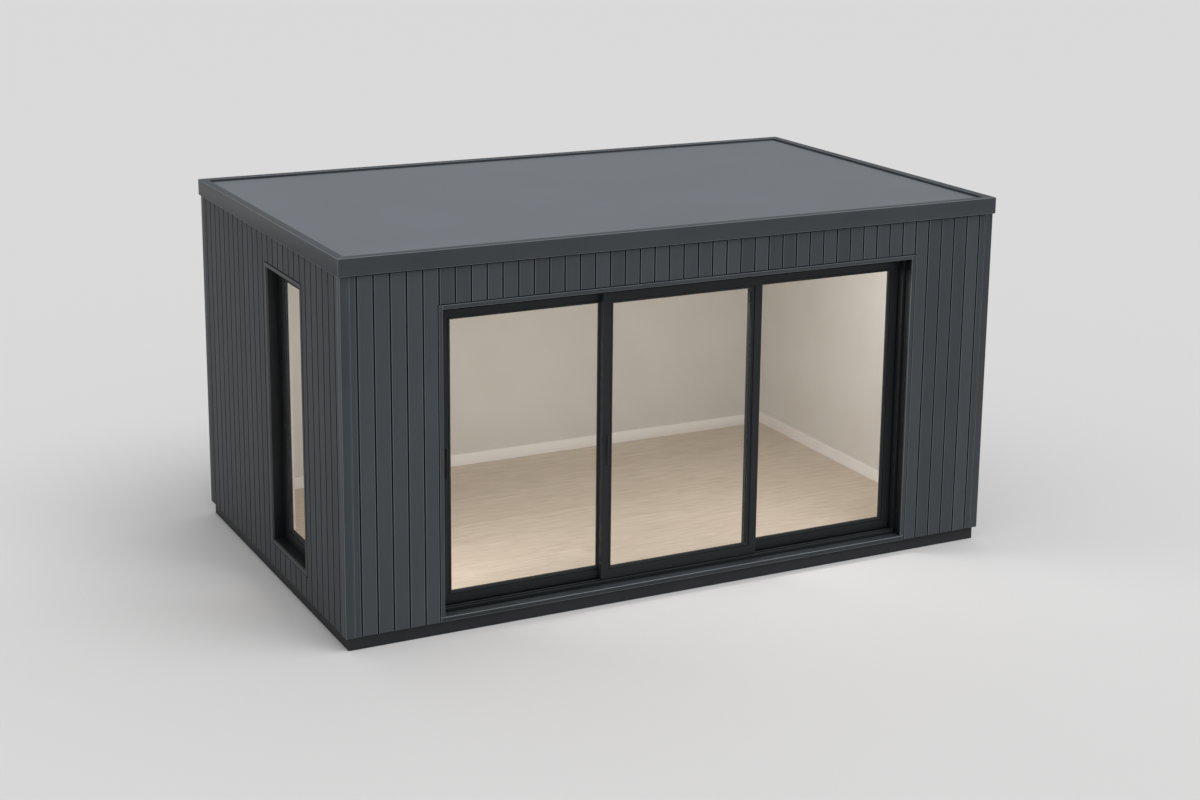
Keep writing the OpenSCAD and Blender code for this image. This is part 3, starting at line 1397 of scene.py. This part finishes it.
@dataclass(frozen=True)
class Glazing:
    """A sealed double-glazed unit: two panes, a dark spacer and gaskets on both faces.

    Depths run from the frame's outer face to the inside, in millimetres.
    """

    pane: float = 4.0
    spacer: float = 3.0
    spacer_inset: float = 0.2
    gasket: float = 3.5
    gasket_lap: float = 1.0
    gasket_crest: Pair = (0.6, 1.2)
    gasket_toe: float = 0.2
    proud: float = 0.9

    def panes(self, bm: bmesh.types.BMesh, edge: Opening, near: float, far: float) -> None:
        """Adds the two panes.

        Args:
            bm: The mesh.
            edge: The unit's edges.
            near: The depth of its outer face in metres.
            far: The depth of its inner face in metres.
        """
        thick = self.pane * MM
        for start in (near, far - thick):
            add_box(
                bm,
                Vector((edge.left, start, edge.bottom)),
                Vector((edge.right, start + thick, edge.top)),
            )

    def spacers(self, bm: bmesh.types.BMesh, edge: Opening, near: float, far: float) -> None:
        """Adds the spacer between the panes.

        Args:
            bm: The mesh.
            edge: The unit's edges.
            near: The depth of its outer face in metres.
            far: The depth of its inner face in metres.
        """
        first, last = near / MM + self.pane, far / MM - self.pane
        outer, inner = self.spacer_inset, self.spacer
        spacer = ((outer, first), (inner, first), (inner, last), (outer, last))
        Loft(millimetres(*spacer)).round_frame(bm, edge)

    def gaskets(self, bm: bmesh.types.BMesh, edge: Opening, near: float, far: float) -> None:
        """Adds a gasket on each face.

        Args:
            bm: The mesh.
            edge: The unit's edges.
            near: The depth of its outer face in metres.
            far: The depth of its inner face in metres.
        """
        rise, fall = self.gasket_crest
        for face, away in ((near / MM, -1), (far / MM, 1)):
            crest = face + away * self.proud
            lip = (
                (-self.gasket_lap, face),
                (-self.gasket_lap, face + away * self.proud * 0.6),
                (rise, crest),
                (self.gasket - fall, crest),
                (self.gasket, face + away * self.gasket_toe),
                (self.gasket, face),
            )
            Loft(millimetres(*lip)).round_frame(bm, edge)

    def build(
        self, name: str, node: str, facing: Facing, place: Matrix, body: str
    ) -> list[bpy.types.Object]:
        """Builds and dresses a unit in the place of a CAD pane.

        Args:
            name: The start of the pieces' names.
            node: The CAD pane.
            facing: The side that it is on.
            place: The matrix from the frame's coordinates to the pod's.
            body: The body it rides on.

        Returns:
            The finished pieces.
        """
        edge = opening_of(node, facing)
        back = place.inverted()
        near, far = sorted((back @ corner).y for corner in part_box(node))
        pieces = []
        for part, make, finish, slot, stands_for in (
            ("panes", self.panes, GLASS, "glass", (node,)),
            ("spacers", self.spacers, SPACER, "frame", ()),
            ("gaskets", self.gaskets, GASKET, "frame", ()),
        ):
            bm = bmesh.new()
            make(bm, edge, near, far)
            thing = new_object(f"{name}_{part}", mesh_from(bm, f"{name}_{part}"))
            thing.data.transform(place)
            pieces.append(dress(thing, finish, body, stands_for))
        return pieces


class Pull(Enum):
    """How a sliding panel is pulled."""

    FLUSH = "flush cup"
    BAR = "slim bar"
    NONE = "none"


# The sections of the pulls, from the back to the front: the cup goes on down into its pocket.
CUP = millimetres(
    (0.5, 11.6), (0.5, 0.0), (0.0, 0.0), (0.0, -1.6), (0.3, -2.2), (0.9, -2.5),
    (2.0, -2.5), (2.6, -2.2), (2.9, -1.4), (3.1, 8.2), (4.2, 10.2), (6.4, 10.8),
)  # fmt: skip
PLATE = millimetres((0.0, 0.0), (0.0, -1.8), (0.4, -2.6), (1.2, -3.0))
BLADE = millimetres((0.0, -1.0), (0.0, -10.4), (0.5, -11.5), (1.6, -12.0))


@dataclass
class SlidingPanel:
    """One glazed panel of the sliding door, with its pull."""

    name: str
    body: str
    pull: Pull
    bead: float = 16 * MM
    pull_rim: float = 0.5 * MM
    pocket_depth: float = 12 * MM
    blade_shift: float = 3.2 * MM
    blade_width: float = 9.0 * MM
    blade_shortening: float = 14 * MM
    glazing: Glazing = field(default_factory=Glazing)

    def node(self, part: str) -> str:
        """Gives the name of one of the panel's CAD nodes."""
        return f"{self.name}_{part}"

    def build(self) -> list[bpy.types.Object]:
        """Builds and dresses the frame, the glazing and the pull.

        Returns:
            The finished pieces.
        """
        place = Facing.FRONT.place(outer_face(self.node("frame"), Facing.FRONT))
        pieces = [self.build_frame(place)]
        pieces += self.glazing.build(
            self.name, self.node("glass"), Facing.FRONT, place, self.body
        )
        if self.pull is not Pull.NONE:
            pieces.append(self.build_pull(place))
        return pieces

    def build_frame(self, place: Matrix) -> bpy.types.Object:
        """Builds the panel's frame, with a pocket where the pull is a cup.

        Args:
            place: The matrix from the panel's coordinates to the pod's.

        Returns:
            The finished frame.
        """
        node = self.node("frame")
        low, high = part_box(node)
        sash = opening_of(node, Facing.FRONT)
        glass = opening_of(self.node("glass"), Facing.FRONT)
        stile = glass.left - sash.left - self.bead
        rail = glass.bottom - sash.bottom - self.bead
        section = bordered((high.y - low.y) / MM, stile / MM, self.bead / MM)
        bm = bmesh.new()
        Loft(section, stile, rail - stile).round_frame(bm, sash)
        thing = new_object(self.node("sash"), mesh_from(bm, self.node("sash")))
        if self.pull is Pull.FLUSH:
            self.cut_pocket(thing)
        thing.data.transform(place)
        return dress(thing, FRAME, self.body, (node,))

    def handle_box(self) -> tuple[float, float, float, float]:
        """Measures the pull.

        Returns:
            Its middle across, its middle up, its width and its height.
        """
        edge = opening_of(self.node("handle"), Facing.FRONT)
        return (
            (edge.left + edge.right) / 2,
            (edge.bottom + edge.top) / 2,
            edge.right - edge.left,
            edge.top - edge.bottom,
        )

    def cut_pocket(self, thing: bpy.types.Object) -> None:
        """Cuts the pocket that a cup pull is let into.

        Args:
            thing: The sash, in its own coordinates.
        """
        x, z, width, height = self.handle_box()
        bm = bmesh.new()
        slot = ((self.pull_rim, -self.pocket_depth), (self.pull_rim, self.pocket_depth))
        Loft(slot).round_slot(bm, x, z, width, height)
        cutter = new_object("pocket_cutter", mesh_from(bm, "pocket_cutter"))
        cut = thing.modifiers.new("pocket", "BOOLEAN")
        cut.operation = "DIFFERENCE"
        cut.solver = "EXACT"
        cut.object = cutter
        settle(thing)
        bpy.data.objects.remove(cutter)

    def build_pull(self, place: Matrix) -> bpy.types.Object:
        """Builds the pull.

        Args:
            place: The matrix from the panel's coordinates to the pod's.

        Returns:
            The finished pull.
        """
        node = self.node("handle")
        x, z, width, height = self.handle_box()
        bm = bmesh.new()
        if self.pull is Pull.FLUSH:
            Loft(CUP).round_slot(bm, x, z, width, height)
        else:
            Loft(PLATE).round_slot(bm, x, z, width, height)
            Loft(BLADE).round_slot(
                bm, x + self.blade_shift, z, self.blade_width, height - self.blade_shortening
            )
        thing = new_object(self.node("pull"), mesh_from(bm, self.node("pull")))
        thing.data.transform(place)
        return dress(thing, BLACK, self.body, (node,))


@dataclass
class Window:
    """The tall fixed window in the left side: metal architrave and reveal, frame and glazing.

    Its sizes are in millimetres.
    """

    glazing: Glazing = field(default_factory=Glazing)
    lining: float = 27.0
    bead: float = 16.0
    architrave_depth: float = 14.0
    reveal_step: float = 2.0
    ease: float = 2.4

    def build(self) -> list[bpy.types.Object]:
        """Builds and dresses the lining, the frame and the glazing.

        Returns:
            The finished pieces.
        """
        side = Facing.LEFT
        edge = opening_of("window_frame", side)
        glass = opening_of("window_glass", side)
        low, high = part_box("window_frame")
        face = (glass.bottom - edge.bottom) / MM - self.bead
        section = bordered((high.x - low.x) / MM, face, self.bead)
        place = side.place(outer_face("window_frame", side))
        pieces = self.build_lining(side)
        pieces.append(self.ring("window_casement", section, edge, place, FRAME, ("window_frame",)))
        pieces += self.glazing.build("window", "window_glass", side, place, POD)
        return pieces

    def build_lining(self, side: Facing) -> list[bpy.types.Object]:
        """Builds the architrave on the boards and the dark reveal behind it, whose coat is partly
        painted shade.

        Args:
            side: The side that the window is on.

        Returns:
            The finished pieces.
        """
        edge = opening_of("window_surround", side)
        low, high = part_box("window_surround")
        place = side.place(outer_face("window_surround", side))
        wide, front, ease = self.lining, self.architrave_depth, self.ease
        inner, deep = wide - self.reveal_step, (high.x - low.x) / MM
        architrave = millimetres(
            (0, ease), (ease * SOFT, ease * SOFT), (ease, 0), (wide - ease, 0),
            (wide - ease * SOFT, ease * SOFT), (wide, ease), (wide, front), (0, front),
        )  # fmt: skip
        reveal = millimetres((0, front), (inner, front), (inner, deep), (0, deep))
        return [
            self.ring("window_architrave", architrave, edge, place, TRIM, ("window_surround",)),
            self.ring("window_reveal", reveal, edge, place, REVEAL_SHADED),
        ]

    def ring(
        self,
        name: str,
        section: Section,
        edge: Opening,
        place: Matrix,
        finish: Finish,
        stands_for: tuple[str, ...] = (),
    ) -> bpy.types.Object:
        """Builds and dresses one mitred ring.

        Args:
            name: The piece's name.
            section: Its section.
            edge: Its outer edges.
            place: The matrix from the side's coordinates to the pod's.
            finish: Its finish.
            stands_for: CAD nodes that it replaces.

        Returns:
            The finished ring.
        """
        bm = bmesh.new()
        Loft(section).round_frame(bm, edge)
        thing = new_object(name, mesh_from(bm, name))
        thing.data.transform(place)
        return dress(thing, finish, POD, stands_for)


# ------------------------------------------------------------------------ room


@dataclass
class OakFloor:
    """Oak planks laid along the room's length in staggered rows."""

    plank_width: float = 180 * MM
    plank_length: float = 1900 * MM
    shortest: float = 350 * MM
    joint: float = 0.5 * MM
    arris: float = 0.7 * MM
    seed: int = 11

    def build(self) -> list[bpy.types.Object]:
        """Builds and dresses the planks.

        Returns:
            The finished pieces.
        """
        low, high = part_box("floor_boards")
        rows = round((high.y - low.y) / self.plank_width)
        layer = BoardLayer(
            thickness=high.z - low.z,
            arris=self.arris,
            joint=self.joint,
            pitch=(high.y - low.y) / rows,
            first_joint=low.y,
            seed=self.seed,
            arris_steps=1,
        )
        chance = random.Random(self.seed)
        runs = []
        for row in range(rows):
            start = low.x
            end = start + chance.uniform(self.shortest, self.plank_length)
            while start < high.x:
                if high.x - end < self.shortest:
                    end = high.x
                runs.append(Run(row, 1, start, end - self.joint, low.y, high.y, mark=len(runs)))
                start, end = end, end + self.plank_length
        planks = layer.lay("oak_planks", runs, OAK)
        # Lays the planks down: their length goes along X, their width along Y, their face up.
        laid = Matrix(((0, 0, 1, 0), (1, 0, 0, 0), (0, -1, 0, high.z), (0, 0, 0, 1)))
        planks.data.transform(laid)
        return [dress(planks, OAK, POD, ("floor_boards",))]


@dataclass
class Room:
    """The plastered room: wall and ceiling linings as the CAD has them, skirtings and floor."""

    floor: OakFloor = field(default_factory=OakFloor)
    skirting_ease: float = 3 * MM

    def build(self) -> list[bpy.types.Object]:
        """Dresses the linings and builds the floor and skirtings.

        Returns:
            The finished pieces.
        """
        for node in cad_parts:
            if node.endswith("_wall") or node.startswith("front_wall") or node == "ceiling":
                finish_node(node, PLASTER)
        pieces = self.floor.build()
        for node in ("back_skirting", "side_skirting", "front_skirting"):
            name = f"{node}_board"
            pieces.append(
                rounded_copy(name, (node,), SKIRTING, width=self.skirting_ease)
            )
        return pieces


# ------------------------------------------------------------------------ shell


@dataclass
class Base:
    """The plinth skirt that the walls stand over, and the deck inside it."""

    ease: float = 2 * MM

    def build(self) -> list[bpy.types.Object]:
        """Builds the skirt and dresses the deck.

        Returns:
            The finished pieces.
        """
        finish_node("floor_deck", STRANDS)
        return [rounded_copy("plinth_skirt", ("base_plinth",), SKIRT, width=self.ease)]


@dataclass
class Cladding:
    """The boards on all four sides and the metal angles on the corners."""

    front_boards: int = 43
    side_boards: int = 25
    side_joint: float = 14 * MM
    side_arris: float = 1.2 * MM
    angle_ease: float = 2.4 * MM

    def build(self) -> list[bpy.types.Object]:
        """Builds the four boarded sides and the corner angles.

        Returns:
            The finished pieces.
        """
        door = opening_of("door_surround_sides", Facing.FRONT)
        door = Opening(door.left, door.right, 0.0, door.top)
        window = opening_of("window_surround", Facing.LEFT)
        front = ("front_cladding_left", "front_cladding_head", "front_cladding_right")
        walls = (
            BoardedWall("front", Facing.FRONT, front, self.front_boards, seed=3, opening=door),
            self.side_wall("left", Facing.LEFT, seed=5, opening=window),
            self.side_wall("right", Facing.RIGHT, seed=7),
            BoardedWall("back", Facing.BACK, ("back_cladding",), self.front_boards, seed=9),
        )
        pieces = [piece for wall in walls for piece in wall.build()]
        for node in ("front_corner_trims", "back_corner_trims"):
            name = node.replace("trims", "angles")
            pieces.append(
                rounded_copy(name, (node,), TRIM, width=self.angle_ease, edges=TRIM_HIGHLIGHT)
            )
        return pieces

    def side_wall(
        self, name: str, facing: Facing, seed: int, opening: Opening | None = None
    ) -> BoardedWall:
        """Gives an end wall, whose boards stand a little further apart than the front's.

        Args:
            name: The wall's name.
            facing: The side that it is on.
            seed: The seed of its boards' tones.
            opening: The hole in it, if any.

        Returns:
            The wall.
        """
        return BoardedWall(
            name,
            facing,
            (f"{name}_cladding",),
            self.side_boards,
            seed,
            opening,
            joint=self.side_joint,
            arris=self.side_arris,
        )


@dataclass
class Roof:
    """The mitred metal roof trim round a rubber-covered deck."""

    trim_ease: float = 3 * MM

    def build(self) -> list[bpy.types.Object]:
        """Builds the trim and dresses the deck and membrane.

        Returns:
            The finished pieces.
        """
        finish_node("roof_membrane", ROOFING)
        finish_node("roof_deck", STRANDS)
        return [
            rounded_copy(
                f"{side}_roof_trim",
                (f"{side}_fascia",),
                TRIM,
                width=self.trim_ease,
                edges=TRIM_HIGHLIGHT,
            )
            for side in ("front", "back", "left", "right")
        ]


@dataclass
class DoorSet:
    """The sliding door: sill, trims, tracks, jambs and three panels."""

    trim_ease: float = 2.4 * MM
    track_ease: float = 1.6 * MM
    sill_ease: float = 3.5 * MM
    architrave_depth: float = 14 * MM

    def build(self) -> list[bpy.types.Object]:
        """Builds the fixed surround and the three panels.

        Returns:
            The finished pieces.
        """
        pieces = [
            rounded_copy(
                "sill_board", ("door_sill",), SILL_SHADED, width=self.sill_ease, edges=TRIM_HIGHLIGHT
            ),
            *self.split_trim("door_side", "door_surround_sides"),
            *self.split_trim("door_head", "door_surround_head"),
            rounded_copy("jambs", ("door_jambs",), REVEAL_SHADED, width=self.trim_ease),
            rounded_copy(
                "sill_track",
                ("door_sill_track",),
                FRAME,
                width=self.track_ease,
                edges=FRAME_HIGHLIGHT,
            ),
            # The head track's near-black coat is painted shade.
            rounded_copy("head_track", ("door_head_track",), HEAD_SHADED, width=self.track_ease),
        ]
        for panel in (
            SlidingPanel("left_door", LEFT_DOOR, Pull.FLUSH),
            SlidingPanel("middle_door", MIDDLE_DOOR, Pull.BAR),
            SlidingPanel("right_door", POD, Pull.NONE),
        ):
            pieces.extend(panel.build())
        return pieces

    def split_trim(self, name: str, node: str) -> list[bpy.types.Object]:
        """Builds a trim as a face on the boards and a dark reveal behind it, whose coat is partly
        painted shade.

        Args:
            name: The start of the pieces' names.
            node: The CAD trim that they stand for.

        Returns:
            The finished pieces.
        """
        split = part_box(node)[0].y + self.architrave_depth
        made = []
        for part, finish, slot, near in (
            ("trim", TRIM, "trim", True),
            ("reveal", REVEAL_SHADED, "frame", False),
        ):
            thing = copy_of_nodes(f"{name}_{part}", (node,))
            for vert in thing.data.vertices:
                if (vert.co.y > split) == near:
                    vert.co.y = split
            thing = round_edges(thing, self.trim_ease, marked=near)
            stands_for = (node,) if near else ()
            made.append(dress(thing, finish, POD, stands_for, TRIM_HIGHLIGHT if near else None))
        return made


# ----------------------------------------------------------------------- studio


def soft_panel(name: str, power: float, size: Pair, place: Vector, toward: Vector) -> None:
    """Hangs a rectangular soft light that the camera does not see.

    Args:
        name: The light's name.
        power: Its power in watts.
        size: Its width and height in metres.
        place: Its middle.
        toward: The way it shines.
    """
    lamp = bpy.data.lights.new(name, "AREA")
    lamp.shape = "RECTANGLE"
    lamp.size, lamp.size_y = size
    lamp.energy = power
    light = bpy.data.objects.new(name, lamp)
    light.location = place
    light.rotation_euler = toward.to_track_quat("-Z", "Y").to_euler()
    light.visible_camera = False
    bpy.context.scene.collection.objects.link(light)


@dataclass
class Studio:
    """Plain pale floor, pale surroundings and soft lights.

    Powers are in watts and angles in degrees. A room light's place is X and Y for the
    one under the ceiling, X and Z for the one inside the doors, and Y and Z for the
    one at the left end; its drop or gap is measured from the CAD face behind it.
    """

    floor_reach: float = 90.0
    floor_sides: int = 96
    floor_colour: str = "#dad9d9"
    floor_roughness: float = 0.9
    floor_gloss: float = 0.2
    overhead: str = "#ffffff"
    horizon: str = "#9d9e9f"
    overhead_from: float = 0.8
    sky_strength: float = 0.80
    key_strength: float = 1.15
    key_turn: float = 30.0
    key_height: float = 63.0
    key_softness: float = 42.0
    room_light: float = 20.0
    room_light_place: Pair = (0.80, -0.85)
    room_light_size: Pair = (0.5, 1.2)
    room_light_drop: float = 0.32
    room_light_tilt: float = 26.0
    door_light: float = 16.0
    door_light_place: Pair = (-1.15, 1.45)
    door_light_size: Pair = (1.2, 1.2)
    door_light_dip: float = 6.0
    door_light_gap: float = 0.14
    end_light: float = 12.0
    end_light_place: Pair = (-1.0, 1.1)
    end_light_size: Pair = (0.5, 1.7)
    end_light_turn: float = 16.0
    end_light_gap: float = 0.12

    def build(self) -> None:
        """Builds the floor, the surroundings and the lights."""
        self.build_floor()
        self.build_sky()
        self.build_key()
        self.build_room_lights()

    def build_sky(self) -> None:
        """Builds pale surroundings that are brighter overhead than at the horizon."""
        world = bpy.data.worlds.new("studio")
        world.use_nodes = True
        tree = world.node_tree
        coords = add(tree, "ShaderNodeTexCoord")
        split = add(tree, "ShaderNodeSeparateXYZ", {"Vector": coords.outputs["Generated"]})
        height = add(
            tree,
            "ShaderNodeMapRange",
            {"Value": split.outputs["Z"], "From Min": 0.0, "From Max": self.overhead_from},
        ).outputs["Result"]
        colour = mix(tree, height, linear(self.horizon), linear(self.overhead))
        sky = tree.nodes["Background"]
        feed(tree, sky, {"Color": colour, "Strength": self.sky_strength})
        bpy.context.scene.world = world

    def build_key(self) -> None:
        """Builds the broad key light, ahead of the pod and above it."""
        lamp = bpy.data.lights.new("key", "SUN")
        lamp.energy = self.key_strength
        lamp.angle = math.radians(self.key_softness)
        key = bpy.data.objects.new("key", lamp)
        turn, height = math.radians(self.key_turn), math.radians(self.key_height)
        level = Vector((math.sin(turn), -math.cos(turn), 0))
        toward = level * math.cos(height) + Vector((0, 0, math.sin(height)))
        key.rotation_euler = toward.to_track_quat("Z", "Y").to_euler()
        bpy.context.scene.collection.objects.link(key)

    def build_room_lights(self) -> None:
        """Builds the room's soft lights: under the ceiling, inside the doors and by the window."""
        ceiling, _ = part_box("ceiling")
        _, front_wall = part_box("front_wall_head")
        _, end_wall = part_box("left_wall")
        tilt = math.radians(self.room_light_tilt)
        dip = math.radians(self.door_light_dip)
        turn = math.radians(self.end_light_turn)
        soft_panel(
            "room_light",
            self.room_light,
            self.room_light_size,
            Vector((*self.room_light_place, ceiling.z - self.room_light_drop)),
            Vector((math.sin(tilt), 0, -math.cos(tilt))),
        )
        x, z = self.door_light_place
        soft_panel(
            "door_light",
            self.door_light,
            self.door_light_size,
            Vector((x, front_wall.y + self.door_light_gap, z)),
            Vector((0, math.cos(dip), -math.sin(dip))),
        )
        y, z = self.end_light_place
        soft_panel(
            "end_light",
            self.end_light,
            self.end_light_size,
            Vector((end_wall.x + self.end_light_gap, y, z)),
            Vector((math.cos(turn), -math.sin(turn), 0)),
        )

    def build_floor(self) -> None:
        """Builds the studio floor as a wide disc."""
        bm = bmesh.new()
        bmesh.ops.create_circle(
            bm, cap_ends=True, segments=self.floor_sides, radius=self.floor_reach
        )
        floor = new_object("studio_floor", mesh_from(bm, "studio_floor"))
        made = bpy.data.materials.new("studio_floor_paint")
        made.use_nodes = True
        tree = made.node_tree
        feed(
            tree,
            tree.nodes["Principled BSDF"],
            {
                "Base Color": linear(self.floor_colour),
                "Roughness": self.floor_roughness,
                "Specular IOR Level": self.floor_gloss,
            },
        )
        floor.data.materials.append(made)


@dataclass
class Camera:
    """The camera: place in metres, angles in degrees, lens and sensor in millimetres."""

    place: Triple = (-6.4352, -12.8147, 5.1487)
    turn: float = 26.925
    dip: float = 13.002
    roll: float = 0.546
    lens: float = 62.17
    sensor: float = 36.0
    rise: float = -0.10
    reach: float = 500.0

    def build(self) -> None:
        """Builds the camera and makes it the scene's own."""
        turn, dip, roll = (math.radians(a) for a in (self.turn, self.dip, self.roll))
        level = Vector((math.sin(turn), math.cos(turn), 0))
        ahead = level * math.cos(dip) - Vector((0, 0, math.sin(dip)))
        right = ahead.cross(Vector((0, 0, 1))).normalized()
        up = right.cross(ahead)
        tilted_right = right * math.cos(roll) + up * math.sin(roll)
        tilted_up = up * math.cos(roll) - right * math.sin(roll)
        lens = bpy.data.cameras.new("camera")
        lens.lens = self.lens
        lens.sensor_width = self.sensor
        lens.shift_y = self.rise
        lens.clip_end = self.reach
        view = bpy.data.objects.new("camera", lens)
        turned = Matrix((tilted_right, tilted_up, -ahead)).transposed().to_4x4()
        view.matrix_world = Matrix.Translation(self.place) @ turned
        bpy.context.scene.collection.objects.link(view)
        bpy.context.scene.camera = view


def main() -> None:
    """Builds the pod and the studio and reports each piece."""
    logging.basicConfig(level=logging.INFO, format="%(name)s: %(message)s")
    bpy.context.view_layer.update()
    Camera().build()
    Studio().build()
    pieces: list[bpy.types.Object] = []
    for assembly in (Base(), Cladding(), Window(), DoorSet(), Room(), Roof()):
        made = assembly.build()
        log.info("%s: %d pieces", type(assembly).__name__, len(made))
        pieces.extend(made)
    bpy.context.scene.view_settings.view_transform = "Standard"
    log.info("%d pieces in all", len(pieces))


if __name__ == "__main__":
    main()
